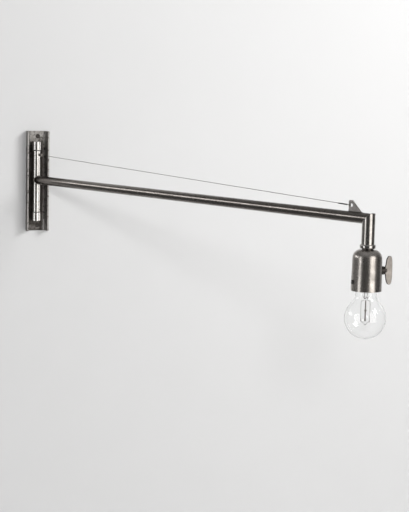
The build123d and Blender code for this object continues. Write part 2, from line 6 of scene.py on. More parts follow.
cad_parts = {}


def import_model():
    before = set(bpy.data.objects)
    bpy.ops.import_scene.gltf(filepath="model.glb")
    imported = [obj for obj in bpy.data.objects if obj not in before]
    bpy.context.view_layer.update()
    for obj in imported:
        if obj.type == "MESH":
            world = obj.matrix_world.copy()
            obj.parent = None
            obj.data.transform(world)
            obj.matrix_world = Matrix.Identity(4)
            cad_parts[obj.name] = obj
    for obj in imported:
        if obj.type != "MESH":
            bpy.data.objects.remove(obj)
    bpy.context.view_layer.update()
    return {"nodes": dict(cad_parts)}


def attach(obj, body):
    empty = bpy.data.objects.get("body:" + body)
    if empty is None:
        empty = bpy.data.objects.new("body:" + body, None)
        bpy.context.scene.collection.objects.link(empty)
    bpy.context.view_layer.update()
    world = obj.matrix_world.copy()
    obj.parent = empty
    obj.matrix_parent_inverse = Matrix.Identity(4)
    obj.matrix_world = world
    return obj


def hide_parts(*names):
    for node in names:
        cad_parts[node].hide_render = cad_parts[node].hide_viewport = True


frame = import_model()
nodes = frame["nodes"]
scene = bpy.context.scene
MM = 0.001

# ---------------------------------------------------------------- places, from the part's own values
REST_SWING = math.radians(25.0)
PIVOT = Vector((-2.0, -12.0, 0.0)) * MM
ARM_RISE = 2.5 * MM
ARM_LENGTH = 820.0 * MM
PIVOT_AT_ARM = PIVOT + Vector((0, 0, ARM_RISE))
ARM_FRAME = Matrix.Translation(PIVOT_AT_ARM) @ Matrix.Rotation(REST_SWING, 4, "Z")
HEAD_FRAME = ARM_FRAME @ Matrix.Translation((0, -ARM_LENGTH, 0))
DROP_LENGTH, RING_HEIGHT, NECK_HEIGHT, CUP_HEIGHT = 36.3, 5.8, 1.6, 58.5
CUP_MOUTH = -(DROP_LENGTH + RING_HEIGHT + NECK_HEIGHT + CUP_HEIGHT) * MM
KEY_RISE = 28.0 * MM  # above the cup's mouth
KEY_TURN = math.radians(-21.0)
LEAD_TURN = math.radians(-48.0)
BULB_FRAME = HEAD_FRAME @ Matrix.Translation((0, 0, CUP_MOUTH))
KEY_FRAME = BULB_FRAME @ Matrix.Translation((0, 0, KEY_RISE)) @ Matrix.Rotation(KEY_TURN, 4, "Z")
LEAD_FRAME = BULB_FRAME @ Matrix.Rotation(LEAD_TURN, 4, "Z")


# ---------------------------------------------------------------- camera
CAMERA_TURNS = (16.529, 7.100, 1.307)  # degrees to the right, down and clockwise
CAMERA_PLACE = Vector((-435.92, -2575.08, 189.28)) * MM
FOCAL_PIXELS = 1400.0
PICTURE_PIXELS = 512.0  # the picture's longer side, which the sensor's width covers
SENSOR_WIDTH = 36.0


def camera():
    yaw, pitch, roll = (math.radians(a) for a in CAMERA_TURNS)
    forward = Vector((math.sin(yaw) * math.cos(pitch), math.cos(yaw) * math.cos(pitch),
                      -math.sin(pitch)))
    flat = Vector((math.cos(yaw), -math.sin(yaw), 0))
    up = flat.cross(forward)
    right = flat * math.cos(roll) + up * math.sin(roll)
    up = up * math.cos(roll) - flat * math.sin(roll)
    turn = Matrix((right, up, -forward)).transposed()
    data = bpy.data.cameras.new("camera")
    data.sensor_width = SENSOR_WIDTH
    data.sensor_fit = "AUTO"
    data.lens = FOCAL_PIXELS / PICTURE_PIXELS * SENSOR_WIDTH
    data.clip_start = 0.1
    data.clip_end = 60.0
    cam = bpy.data.objects.new("camera", data)
    cam.matrix_world = Matrix.Translation(CAMERA_PLACE) @ turn.to_4x4()
    scene.collection.objects.link(cam)
    scene.camera = cam


camera()


# ---------------------------------------------------------------- node helpers
class Nodes:
    """A material's node tree with short calls."""

    def __init__(self, tree):
        self.tree = tree
        self.tree.nodes.clear()

    def add(self, kind, props=None, **inputs):
        node = self.tree.nodes.new(kind)
        for key, value in (props or {}).items():
            setattr(node, key, value)
        for key, value in inputs.items():
            by_number = key[0] == "i" and key[1:].isdigit()
            self.put(node.inputs[int(key[1:]) if by_number else key.replace("_", " ")], value)
        return node

    def put(self, socket, value):
        if isinstance(value, bpy.types.NodeSocket):
            self.tree.links.new(value, socket)
        else:
            socket.default_value = value

    def math(self, operation, a, b=0.0, clamp=False):
        props = {"operation": operation, "use_clamp": clamp}
        return self.add("ShaderNodeMath", props, i0=a, i1=b).outputs[0]

    def noise(self, vector, scale, detail=2.0, rough=0.5, distortion=0.0):
        node = self.add("ShaderNodeTexNoise", None, Vector=vector, Scale=scale, Detail=detail,
                        Roughness=rough, Distortion=distortion)
        return node.outputs["Fac"]

    def ramp(self, fac, stops):
        node = self.add("ShaderNodeValToRGB", None, Fac=fac)
        points = node.color_ramp.elements
        while len(points) < len(stops):
            points.new(0.5)
        for point, (place, colour) in zip(points, stops):
            point.position = place
            point.color = (*colour, 1)
        return node.outputs["Color"]

    def span(self, fac, low, high, to_low, to_high):
        node = self.add("ShaderNodeMapRange", None, Value=fac)
        limits = {"From Min": low, "From Max": high, "To Min": to_low, "To Max": to_high}
        for key, value in limits.items():
            node.inputs[key].default_value = value
        return node.outputs["Result"]

    def mix(self, fac, a, b):
        """Colour a, turned into colour b by the factor."""
        node = self.add("ShaderNodeMix", {"data_type": "RGBA"})
        self.put(node.inputs[0], fac)
        for number, colour in ((6, a), (7, b)):
            linked = isinstance(colour, bpy.types.NodeSocket)
            self.put(node.inputs[number], colour if linked else (*colour, 1))
        return node.outputs[2]

    def object_vector(self, frame_matrix=None, scale=(1, 1, 1)):
        """Object coordinates in metres, turned into a body's own frame, then scaled."""
        out = self.add("ShaderNodeTexCoord").outputs["Object"]
        if frame_matrix is not None:
            inverse = frame_matrix.inverted()
            turned = self.add("ShaderNodeMapping", {"vector_type": "POINT"}, Vector=out)
            turned.inputs["Location"].default_value = inverse.to_translation()
            turned.inputs["Rotation"].default_value = inverse.to_euler("XYZ")
            out = turned.outputs["Vector"]
        if scale != (1, 1, 1):
            sized = self.add("ShaderNodeMapping", {"vector_type": "POINT"}, Vector=out)
            sized.inputs["Scale"].default_value = scale
            out = sized.outputs["Vector"]
        return out


def material(name):
    mat = bpy.data.materials.new(name)
    mat.use_nodes = True
    return mat, Nodes(mat.node_tree)


def finish_surface(n, **sockets):
    bsdf = n.add("ShaderNodeBsdfPrincipled")
    for key, value in sockets.items():
        socket = bsdf.inputs[key.replace("_", " ")]
        if isinstance(value, tuple) and len(value) == 3:
            value = (*value, 1)
        n.put(socket, value)
    n.add("ShaderNodeOutputMaterial", None, Surface=bsdf.outputs[0])


def steel(name, light, dark, rough, spread, streak=(1, 1, 1), frame_matrix=None, speck=0.5, grain=0.35,
          cloud=90.0, bump=0.000004):
    """Burnished raw steel: cloudy oxide, fine streaks along one way, and small dark pits."""
    mat, n = material(name)
    v = n.object_vector(frame_matrix)
    lines = n.noise(n.object_vector(frame_matrix, streak), 1400.0, 3.0, 0.6)
    clouds = n.noise(v, cloud, 5.0, 0.62, 0.4)
    fine = n.noise(v, cloud * 9, 4.0, 0.7)
    pits = n.noise(v, 620.0, 2.0, 0.5)
    pit_fac = n.span(pits, 0.67, 0.73, 0.0, speck)
    patches = n.span(n.noise(v, cloud * 0.45, 3.0, 0.5), 0.46, 0.68, 0.0, 1.0)
    mixer = n.math("ADD", n.math("MULTIPLY", clouds, 0.55), n.math("MULTIPLY", fine, 0.45))
    mid = tuple(0.6 * a + 0.4 * b for a, b in zip(light, dark))
    colour = n.ramp(mixer, [(0.30, dark), (0.46, mid), (0.62, light)])
    colour = n.mix(n.math("MULTIPLY", patches, 0.25), colour, tuple(0.7 * c for c in mid))
    colour = n.mix(n.span(lines, 0.35, 0.75, 0.0, grain), colour, dark)
    colour = n.mix(pit_fac, colour, tuple(0.35 * c for c in dark))
    r = n.span(mixer, 0.3, 0.65, rough + spread, rough - spread * 0.5)
    r = n.math("ADD", r, n.span(lines, 0.3, 0.7, -0.1 * grain, 0.16 * grain), clamp=True)
    height = n.math("SUBTRACT", n.math("MULTIPLY", lines, 0.6), n.math("MULTIPLY", pit_fac, 1.0))
    height = n.math("ADD", height, n.math("MULTIPLY", fine, 0.8))
    node = n.add("ShaderNodeBump", None, Height=height, Strength=1.0, Distance=bump)
    finish_surface(n, Base_Color=colour, Metallic=1.0, Roughness=r, Normal=node.outputs["Normal"])
    return mat


def plain(name, colour, rough, metallic=0.0, **extra):
    """A simple finish with a little mottling in colour, gloss and surface."""
    mat, n = material(name)
    spot = n.noise(n.object_vector(), 300.0, 4.0, 0.6)
    vary = 0.25
    low = tuple(c * (1 - vary) for c in colour)
    high = tuple(min(1.0, c * (1 + vary * 0.5)) for c in colour)
    tint = n.ramp(spot, [(0.3, low), (0.7, high)])
    node = n.add("ShaderNodeBump", None, Height=spot, Strength=0.4, Distance=0.00002)
    finish_surface(n, Base_Color=tint, Metallic=metallic, Normal=node.outputs["Normal"],
                   Roughness=n.span(spot, 0.3, 0.7, rough * 1.2, rough * 0.85), **extra)
    return mat


def clear_glass(name, painted_rim_tint):
    """Clear glass, painted darker as shade where it is seen along its wall, which lets lamps through to what it
    holds.
    """
    mat, n = material(name)
    streak = n.noise(n.object_vector(None, (1, 1, 0.3)), 60.0, 2.0, 0.5)
    facing = n.add("ShaderNodeLayerWeight", None, Blend=0.5).outputs["Facing"]
    # painted shade: the glass's colour darkened toward its outline
    edge = n.math("POWER", n.span(facing, 0.72, 1.0, 0.0, 1.0), 1.6)
    clear_tint = n.mix(n.span(streak, 0.3, 0.7, 0.0, 1.0), (0.985, 0.99, 0.988), (1.0, 1.0, 1.0))
    tint = n.mix(edge, clear_tint, painted_rim_tint)
    bsdf = n.add("ShaderNodeBsdfPrincipled", None, Base_Color=tint)
    for socket, value in (("Roughness", 0.0), ("IOR", 1.36), ("Transmission Weight", 1.0)):
        bsdf.inputs[socket].default_value = value
    clear = n.add("ShaderNodeBsdfTransparent")
    path = n.add("ShaderNodeLightPath")
    mix = n.add("ShaderNodeMixShader", None, Fac=path.outputs["Is Shadow Ray"])
    n.put(mix.inputs[1], bsdf.outputs[0])
    n.put(mix.inputs[2], clear.outputs[0])
    n.add("ShaderNodeOutputMaterial", None, Surface=mix.outputs[0])
    return mat


def mill_steel(name):
    """Hot-rolled bracket steel: dark scale in the middle, worn lighter along the toes, with painted light toward
    the ends and on the right flange, and painted shadow on the web beside the pivot tube.
    """
    mat, n = material(name)
    v = n.object_vector()
    x, y, z = n.add("ShaderNodeSeparateXYZ", None, Vector=v).outputs
    clouds = n.noise(v, 62.0, 5.0, 0.62, 0.5)
    fine = n.noise(v, 480.0, 4.0, 0.7)
    drag = n.noise(n.object_vector(None, (1, 1, 0.12)), 900.0, 3.0, 0.6)
    # painted light: the top end lighter, where light passes over the flanges' top ends
    upper = n.span(z, 0.058, 0.082, 0.0, 0.34)
    # painted light: the bottom end a little lighter, clear of the tube's shade
    lower = n.span(z, -0.088, -0.066, 0.07, 0.0)
    # painted light on the right flange, stronger toward the bottom
    flange = n.span(x, 0.0105, 0.0135, 0.0, 0.30)
    flange = n.math("ADD", flange, n.math("MULTIPLY", flange, n.span(z, -0.075, 0.03, 1.0, 0.0)))
    # painted shadow of the pivot tube and collars on the web just right of them, fading out above the upper
    # collar
    corner = n.math("MULTIPLY", n.span(x, 0.0045, 0.007, 0.0, 1.0), n.span(x, 0.0085, 0.0105, 1.0, 0.0))
    corner = n.math("MULTIPLY", corner, n.span(z, 0.060, 0.072, 0.34, 0.0))
    # a lighter round spot beside the upper screw
    spot = n.add("ShaderNodeVectorMath", {"operation": "DISTANCE"}, i0=v, i1=(0.010, -0.0025, 0.0825))
    screw_side_spot = n.span(spot.outputs["Value"], 0.0025, 0.0075, 0.24, 0.0)
    toe = n.span(y, -0.0200, -0.0185, 0.42, 0.0)
    # worn toes, summed with the painted light at the ends and on the right flange and the painted shadow beside
    # the tube
    wear_and_painted_shading = n.math("ADD", n.math("ADD", upper, lower), n.math("ADD", toe, n.math("SUBTRACT", flange, corner)))
    wear_and_painted_shading = n.math("ADD", wear_and_painted_shading, screw_side_spot)
    grime = n.math("ADD", n.math("MULTIPLY", clouds, 0.7), n.math("MULTIPLY", fine, 0.3))
    tone = n.math("ADD", grime, wear_and_painted_shading)
    colour = n.ramp(tone, [(0.36, (0.045, 0.038, 0.033)), (0.52, (0.085, 0.075, 0.067)),
                           (0.70, (0.20, 0.188, 0.175)), (0.95, (0.36, 0.345, 0.33))])
    colour = n.mix(n.span(drag, 0.4, 0.75, 0.0, 0.35), colour, (0.05, 0.043, 0.038))
    spots = n.span(n.noise(v, 230.0, 3.0, 0.6), 0.55, 0.63, 0.0, 0.85)
    colour = n.mix(spots, colour, (0.028, 0.024, 0.021))
    rough = n.span(tone, 0.4, 0.9, 0.52, 0.34)
    height = n.math("SUBTRACT", n.math("ADD", n.math("MULTIPLY", fine, 0.8), clouds), spots)
    bump = n.add("ShaderNodeBump", None, Height=height, Strength=1.0, Distance=0.00002)
    finish_surface(n, Base_Color=colour, Metallic=0.6, Roughness=rough, Normal=bump.outputs["Normal"])
    return mat


def wing_steel(name):
    """Satin key steel, its thin sides painted dark as shade."""
    mat, n = material(name)
    v = n.object_vector(KEY_FRAME)
    fine = n.noise(n.object_vector(KEY_FRAME, (1, 1, 0.15)), 1300.0, 3.0, 0.6)
    clouds = n.noise(v, 150.0, 4.0, 0.6)
    colour = n.ramp(n.math("ADD", n.math("MULTIPLY", clouds, 0.6), n.math("MULTIPLY", fine, 0.4)),
                    [(0.32, (0.17, 0.154, 0.14)), (0.64, (0.265, 0.243, 0.222))])
    normal = n.add("ShaderNodeNewGeometry").outputs["Normal"]
    face = KEY_FRAME.to_3x3() @ Vector((0, 1, 0))
    facing = n.add("ShaderNodeVectorMath", {"operation": "DOT_PRODUCT"}, i0=normal, i1=face)
    flat = n.math("ABSOLUTE", facing.outputs["Value"])
    # painted shade: the thin sides turned near-black
    edge = n.span(flat, 0.6, 0.97, 1.0, 0.0)
    colour = n.mix(edge, colour, (0.010, 0.009, 0.008))
    bump = n.add("ShaderNodeBump", None, Height=fine, Strength=1.0, Distance=0.000006)
    rough = n.math("ADD", n.span(clouds, 0.3, 0.7, 0.42, 0.33), n.math("MULTIPLY", edge, 0.2))
    finish_surface(n, Base_Color=colour, Metallic=1.0, Roughness=rough, Normal=bump.outputs["Normal"])
    return mat


def dress(mat, *names):
    for name in names:
        data = nodes[name].data
        data.materials.clear()
        data.materials.append(mat)


ALONG_ARM, UPRIGHT, ROUND = (1, 0.03, 1), (1, 1, 0.03), (0.08, 0.08, 1)  # ways that the streaks run
bracket_steel = mill_steel("bracket_steel")
boss_steel = steel("boss_steel", (0.66, 0.64, 0.62), (0.46, 0.44, 0.42), 0.25, 0.01, ROUND,
                   speck=0.1, grain=0.03, cloud=40.0, bump=0.0)
pivot_steel = steel("pivot_steel", (0.62, 0.60, 0.575), (0.44, 0.42, 0.40), 0.25, 0.01, (1, 1, 0.01), ARM_FRAME,
                    0.1, 0.03, 40.0, 0.0)
arm_steel = steel("arm_steel", (0.21, 0.195, 0.18), (0.095, 0.083, 0.074), 0.22, 0.06, ALONG_ARM, ARM_FRAME, 0.7)
drop_steel = steel("drop_steel", (0.50, 0.475, 0.45), (0.20, 0.185, 0.17), 0.22, 0.06, UPRIGHT, HEAD_FRAME)
cup_steel = steel("cup_steel", (0.47, 0.44, 0.41), (0.18, 0.165, 0.15), 0.265, 0.06, (1, 1, 0.04), HEAD_FRAME,
                  0.9, 0.3)
ring_steel = steel("ring_steel", (0.55, 0.53, 0.51), (0.2, 0.18, 0.17), 0.17, 0.05, ROUND, HEAD_FRAME, 0.4, 0.3)
lug_steel = steel("lug_steel", (0.42, 0.40, 0.385), (0.16, 0.147, 0.135), 0.40, 0.08, (1, 0.1, 1), ARM_FRAME,
                  0.6, 0.4)
key_steel = wing_steel("key_steel")
dark_steel = steel("dark_steel", (0.10, 0.09, 0.082), (0.03, 0.027, 0.024), 0.32, 0.10, grain=0.3)
cable_steel = steel("cable_steel", (0.20, 0.19, 0.18), (0.06, 0.055, 0.05), 0.3, 0.08, speck=0.3, grain=0.3)
screw_steel = plain("screw_steel", (0.035, 0.031, 0.028), 0.30, 0.8)
saddle_steel = plain("saddle_steel", (0.19, 0.172, 0.155), 0.45, 0.35)
weld_steel = steel("weld_steel", (0.11, 0.10, 0.092), (0.035, 0.03, 0.027), 0.34, 0.10, speck=0.6,
                   grain=0.3)
brass = plain("brass", (0.62, 0.45, 0.2), 0.35, 1.0)
nylon = plain("nylon", (0.035, 0.034, 0.033), 0.45)
rubber = plain("rubber", (0.03, 0.03, 0.032), 0.6)
insulation = plain("insulation", (0.16, 0.12, 0.09), 0.5)
porcelain = plain("porcelain", (0.72, 0.7, 0.66), 0.25, Coat_Weight=0.5)
drum_plastic = plain("drum_plastic", (0.06, 0.055, 0.05), 0.4)
cap_metal = plain("cap_metal", (0.66, 0.6, 0.5), 0.28, 1.0)
black_glass = plain("black_glass", (0.012, 0.012, 0.014), 0.12)
solder = plain("solder", (0.5, 0.5, 0.52), 0.4, 1.0)
lead_metal = plain("lead_metal", (0.075, 0.062, 0.052), 0.5, 0.7)
filament_metal = plain("filament_metal", (0.025, 0.022, 0.02), 0.55, 0.6)
bush_steel = plain("bush_steel", (0.03, 0.026, 0.023), 0.28, 0.8)
stay_dark = plain("stay_dark", (0.022, 0.019, 0.017), 0.45, 0.7)
bulb_clear = clear_glass("bulb_clear", (0.10, 0.10, 0.10))
stem_clear = clear_glass("stem_clear", (0.10, 0.095, 0.09))

dress(bracket_steel, "wall_channel")
dress(screw_steel, "wall_screws", "cup_set_screw")
dress(bush_steel, "switch_bush")
dress(dark_steel, "neck_spacer", "key_shaft", "switch_leaf")
dress(rubber, "web_grommet")
dress(boss_steel, "upper_collar", "lower_collar", "upper_pin", "lower_pin", "drop_plug", "thread_nipple",
      "nipple_nut")
dress(nylon, "lower_washer", "upper_washer")
dress(pivot_steel, "pivot_tube")
dress(brass, "upper_bush", "lower_bush", "screw_shell", "centre_contact", "terminal_screws")
dress(arm_steel, "arm_tube")
dress(drop_steel, "drop_tube")
dress(lug_steel, "cable_lug")
dress(saddle_steel, "stay_anchor")
dress(cable_steel, "stay_cable", "stay_ferrule", "stay_eye")
dress(insulation, "lamp_wires")
dress(ring_steel, "collar_ring")
dress(cup_steel, "socket_cup", "holder_cap")
dress(porcelain, "holder_body")
dress(drum_plastic, "switch_drum")
dress(key_steel, "key_wing")
dress(bulb_clear, "bulb_glass")
dress(cap_metal, "bulb_cap")
dress(black_glass, "cap_insulator")
dress(solder, "tip_contact")
dress(stem_clear, "glass_stem")
dress(lead_metal, "support_rod", "lead_wires", "filament_hooks")
dress(filament_metal, "filament")


# ---------------------------------------------------------------- own pieces
def finish_piece(name, bm, mat, body, slot, *replaced):
    bmesh.ops.recalc_face_normals(bm, faces=bm.faces)
    mesh = bpy.data.meshes.new(name)
    bm.to_mesh(mesh)
    bm.free()
    for polygon in mesh.polygons:
        polygon.use_smooth = True
    mesh.materials.append(mat)
    piece = bpy.data.objects.new(name, mesh)
    scene.collection.objects.link(piece)
    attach(piece, body)
    if replaced:
        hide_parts(*replaced)
    return piece


def smooth_path(points, steps):
    """Catmull-Rom curve through the points."""
    points = [Vector(p) for p in points]
    ends = [2 * points[0] - points[1], *points, 2 * points[-1] - points[-2]]
    path = []
    for a, b, c, d in zip(ends, ends[1:], ends[2:], ends[3:]):
        for step in range(steps):
            t = step / steps
            path.append(0.5 * (2 * b + (c - a) * t + (2 * a - 5 * b + 4 * c - d) * t ** 2
                               + (3 * b - 3 * c + d - a) * t ** 3))
    return [*path, points[-1]]


def circle(count, turn=0.0):
    """Evenly spaced angles round a full circle."""
    return [turn + 2 * math.pi * i / count for i in range(count)]


def sweep(bm, place, points, radius, sides, closed=False):
    """A round wire along points given in millimetres in the place's own frame."""
    points = [place @ (Vector(p) * MM) for p in points]
    count = len(points)
    rings = []
    side = None
    for i, point in enumerate(points):
        before = points[i - 1] if closed or i else point
        after = points[(i + 1) % count] if closed or i + 1 < count else point
        along = (after - before).normalized()
        side = along.orthogonal() if side is None else side
        side = (side - along * side.dot(along)).normalized()
        across = along.cross(side)
        r = (radius(i) if callable(radius) else radius) * MM
        rings.append([bm.verts.new(point + (side * math.cos(a) + across * math.sin(a)) * r)
                      for a in circle(sides)])
    for one, other in zip(rings, rings[1:] + rings[:1] if closed else rings[1:]):
        for k in range(sides):
            bm.faces.new((one[k - 1], one[k], other[k], other[k - 1]))
    if not closed:
        bm.faces.new(rings[0])
        bm.faces.new(rings[-1])


def coil(path, radius, turns, steps, phase=0.0):
    """Points of a helix round a path."""
    total = [0.0]
    for a, b in zip(path, path[1:]):
        total.append(total[-1] + (b - a).length)
    points = []
    count = int(turns * steps)
    segment = 0
    side = (path[1] - path[0]).orthogonal().normalized()
    for i in range(count + 1):
        reach = total[-1] * i / count
        while segment < len(path) - 2 and total[segment + 1] < reach:
            segment += 1
        along = (path[segment + 1] - path[segment]).normalized()
        side = (side - along * side.dot(along)).normalized()
        across = along.cross(side)
        centre = path[segment] + along * (reach - total[segment])
        angle = 2 * math.pi * turns * i / count + phase
        points.append(centre + (side * math.cos(angle) + across * math.sin(angle)) * radius)
    return points


def lathe(bm, place, outline, segments):
    """A closed outline of radius and height in millimetres, turned about the place's Z."""
    rings = []
    for r, z in outline:
        if r < 1e-6:
            rings.append([bm.verts.new(place @ Vector((0, 0, z * MM)))])
            continue
        rings.append([bm.verts.new(place @ (Vector((r * math.cos(a), r * math.sin(a), z)) * MM))
                      for a in circle(segments)])
    for one, other in zip(rings, rings[1:] + rings[:1]):
        if len(one) == len(other) == 1:
            continue
        for k in range(segments):
            corners = [one[k - 1], one[k]] if len(one) > 1 else [one[0]]
            corners += [other[k], other[k - 1]] if len(other) > 1 else [other[0]]
            bm.faces.new(corners)


# the stay: stranded cable, its end twisted back on itself, and the eye through the lug's hole
ANCHOR_TIP = Vector((0, -17.0, 46.2)) * MM
EYE_END = Vector((0, -784.70, 16.75)) * MM
EYE_LENGTH, TWIST_LENGTH = 6.4, 19.0  # millimetres, like all lengths in the pieces' own outlines
stay_run = EYE_END - ANCHOR_TIP
stay_length = stay_run.length / MM
stay_way = stay_run.normalized()
stay_axes = Matrix((Vector((1, 0, 0)), stay_way.cross(Vector((1, 0, 0))), stay_way))
STAY_FRAME = ARM_FRAME @ Matrix.Translation(ANCHOR_TIP) @ stay_axes.transposed().to_4x4()


def stay_cable():
    end = stay_length - EYE_LENGTH - TWIST_LENGTH
    line = [Vector((0, 0, 0.2)), Vector((0, 0, end + 1.0))]
    bm = bmesh.new()
    sweep(bm, STAY_FRAME, line, 0.17, 6)
    for strand in range(6):
        sweep(bm, STAY_FRAME, coil(line, 0.29, end / 9.0, 9, strand * math.pi / 3), 0.155, 5)
    finish_piece("stay_strands", bm, cable_steel, "arm", "cable_steel", "stay_cable")


def stay_twist():
    start = stay_length - EYE_LENGTH - TWIST_LENGTH
    line = [Vector((0, 0, start)), Vector((0, 0, start + TWIST_LENGTH + 0.4))]
    bm = bmesh.new()
    turns, steps = 4.5, 22
    last = int(turns * steps)
    for thick, phase in ((0.50, 0.0), (0.58, math.pi)):
        def taper(i):
            return thick * min(1.0, 0.35 + 0.65 * i / 14, 0.45 + 0.55 * (last - i) / 8)
        sweep(bm, STAY_FRAME, coil(line, 0.52, turns, steps, phase), taper, 10)
    finish_piece("stay_twist", bm, stay_dark, "arm", "dark_steel", "stay_ferrule")


def stay_loop():
    start = stay_length - EYE_LENGTH
    half = [(0.45, -0.6), (0.55, 0.8), (0.9, 2.0), (1.3, 3.3), (1.5, 4.6), (1.3, 5.8), (0.7, 6.36)]
    loop = [*half, (0, EYE_LENGTH), *((-x, z) for x, z in reversed(half))]
    path = smooth_path([(x, 0, z + start) for x, z in loop], 6)
    bm = bmesh.new()
    sweep(bm, STAY_FRAME, path, 0.30, 10)
    finish_piece("stay_loop", bm, stay_dark, "arm", "cable_steel", "stay_eye")


def beads(name, path, radius, ripple, mat):
    """A weld bead with its ripples, along a closed path in the arm's frame."""
    def rippled(i):
        return radius * (1 + ripple * math.sin(i * 2.1) + 0.5 * ripple * math.sin(i * 0.37))
    bm = bmesh.new()
    sweep(bm, ARM_FRAME, path, rippled, 10, True)
    finish_piece(name, bm, mat, "arm", "arm_steel")


def welds():
    arm_radius, reach = 8.0, ARM_LENGTH / MM
    saddle = [(arm_radius * math.cos(t), -math.sqrt(8.6 ** 2 - (arm_radius * math.cos(t)) ** 2),
               arm_radius * math.sin(t)) for t in circle(150)]
    seam = [(7.9 * math.cos(t), 0.3 - reach - 7.9 * math.sin(t), 7.9 * math.sin(t) + 0.3) for t in circle(150)]
    foot = []
    for t in circle(90):
        across = max(-1.0, min(1.0, 1.6 * math.sin(t))) * 1.7
        foot.append((across, 26.1 - reach + 12.7 * math.cos(t), math.sqrt(7.8 ** 2 - across ** 2) + 0.05))
    beads("saddle_weld", saddle, 0.6, 0.05, saddle_steel)
    beads("elbow_weld", seam, 0.55, 0.12, weld_steel)
    beads("lug_weld", foot, 0.75, 0.16, weld_steel)


def smooth_corners(points, radii):
    """Polygon with its corners rounded by short arcs."""
    out = []
    steps = 8
    for i, (corner, radius) in enumerate(zip(points, radii)):
        corner = Vector(corner)
        if not radius:
            out.append(tuple(corner))
            continue
        before = (Vector(points[i - 1]) - corner).normalized()
        after = (Vector(points[(i + 1) % len(points)]) - corner).normalized()
        reach = radius / math.tan(before.angle(after) / 2)
        start, end = corner + before * reach, corner + after * reach
        for t in (step / steps for step in range(steps + 1)):
            out.append(tuple((1 - t) ** 2 * start + 2 * t * (1 - t) * corner + t * t * end))
    return out


def cable_lug():
    """The lug's plate with rounded edges and its open hole, standing on the arm."""
    corners = [(-781.4, 6.9), (-781.4, 23.8), (-788.5, 23.8), (-806.4, 7.8), (-806.4, 6.9)]
    outline = smooth_corners(corners, (0, 3.2, 3.2, 0.8, 0))
    hole_y, hole_z, hole_radius = -786.7, 16.75, 2.65
    hole = [(hole_y + hole_radius * math.cos(t), hole_z + hole_radius * math.sin(t)) for t in circle(48)]
    half_thickness, bevel = 0.85, 0.25
    curve = bpy.data.curves.new("lug_plate", "CURVE")
    curve.dimensions = "2D"
    curve.fill_mode = "BOTH"
    curve.bevel_depth = bevel * MM
    curve.bevel_resolution = 3
    curve.offset = -bevel * MM
    curve.extrude = (half_thickness - bevel) * MM
    for loop in (outline, hole):
        spline = curve.splines.new("POLY")
        spline.points.add(len(loop) - 1)
        for point, (y, z) in zip(spline.points, loop):
            point.co = (y * MM, z * MM, 0, 1)
        spline.use_cyclic_u = True
    shape = bpy.data.objects.new("lug_shape", curve)
    mesh = bpy.data.meshes.new_from_object(shape)
    bpy.data.objects.remove(shape)
    turn = Matrix(((0, 0, 1, 0), (1, 0, 0, 0), (0, 1, 0, 0), (0, 0, 0, 1)))
    bm = bmesh.new()
    bm.from_mesh(mesh)
    bpy.data.meshes.remove(mesh)
    bmesh.ops.remove_doubles(bm, verts=bm.verts, dist=1e-7)
    bmesh.ops.transform(bm, matrix=ARM_FRAME @ turn, verts=bm.verts)
    piece = finish_piece("lug_plate", bm, lug_steel, "arm", "arm_steel", "cable_lug")
    for polygon in piece.data.polygons:  # the two large faces stay flat
        polygon.use_smooth = polygon.area < 2e-6 or len(polygon.vertices) == 4


def bulb_outline():
    """Half outline of the glass from the bottom to the throat, in millimetres from the cup's mouth."""
    radius, centre, cone = 30.0, -39.8, math.radians(36.9)
    outline = []
    steps = 60
    for i in range(steps + 1):
        angle = -math.pi / 2 + (cone + math.pi / 2) * i / steps
        outline.append((radius * math.cos(angle), centre + radius * math.sin(angle)))
    start, corner, end = (18.1, -13.9), (15.5, -10.45), (15.45, -6.1)
    steps = 14
    for t in (i / steps for i in range(steps + 1)):
        outline.append(tuple((1 - t) ** 2 * a + 2 * t * (1 - t) * b + t * t * c
                             for a, b, c in zip(start, corner, end)))
    return outline + [(15.1, -1.6), (14.9, -0.9), (14.3, 1.2), (12.8, 6.4), (12.65, 7.4), (12.65, 11.7)]


def bulb_glass():
    wall = 0.95
    outer = bulb_outline()
    outer[0] = (0.0, outer[0][1])
    inner = []
    for i, (r, z) in enumerate(outer):
        before, after = outer[max(i - 1, 0)], outer[min(i + 1, len(outer) - 1)]
        along = Vector((after[0] - before[0], after[1] - before[1])).normalized()
        inner.append((max(0.0, r - along[1] * wall), z + along[0] * wall))
    inner[0] = (0.0, outer[0][1] + wall)
    inner[-1] = (inner[-1][0], outer[-1][1])
    bm = bmesh.new()
    lathe(bm, BULB_FRAME, outer + inner[::-1], 160)
    finish_piece("bulb_envelope", bm, bulb_clear, "bulb", "bulb_clear", "bulb_glass")


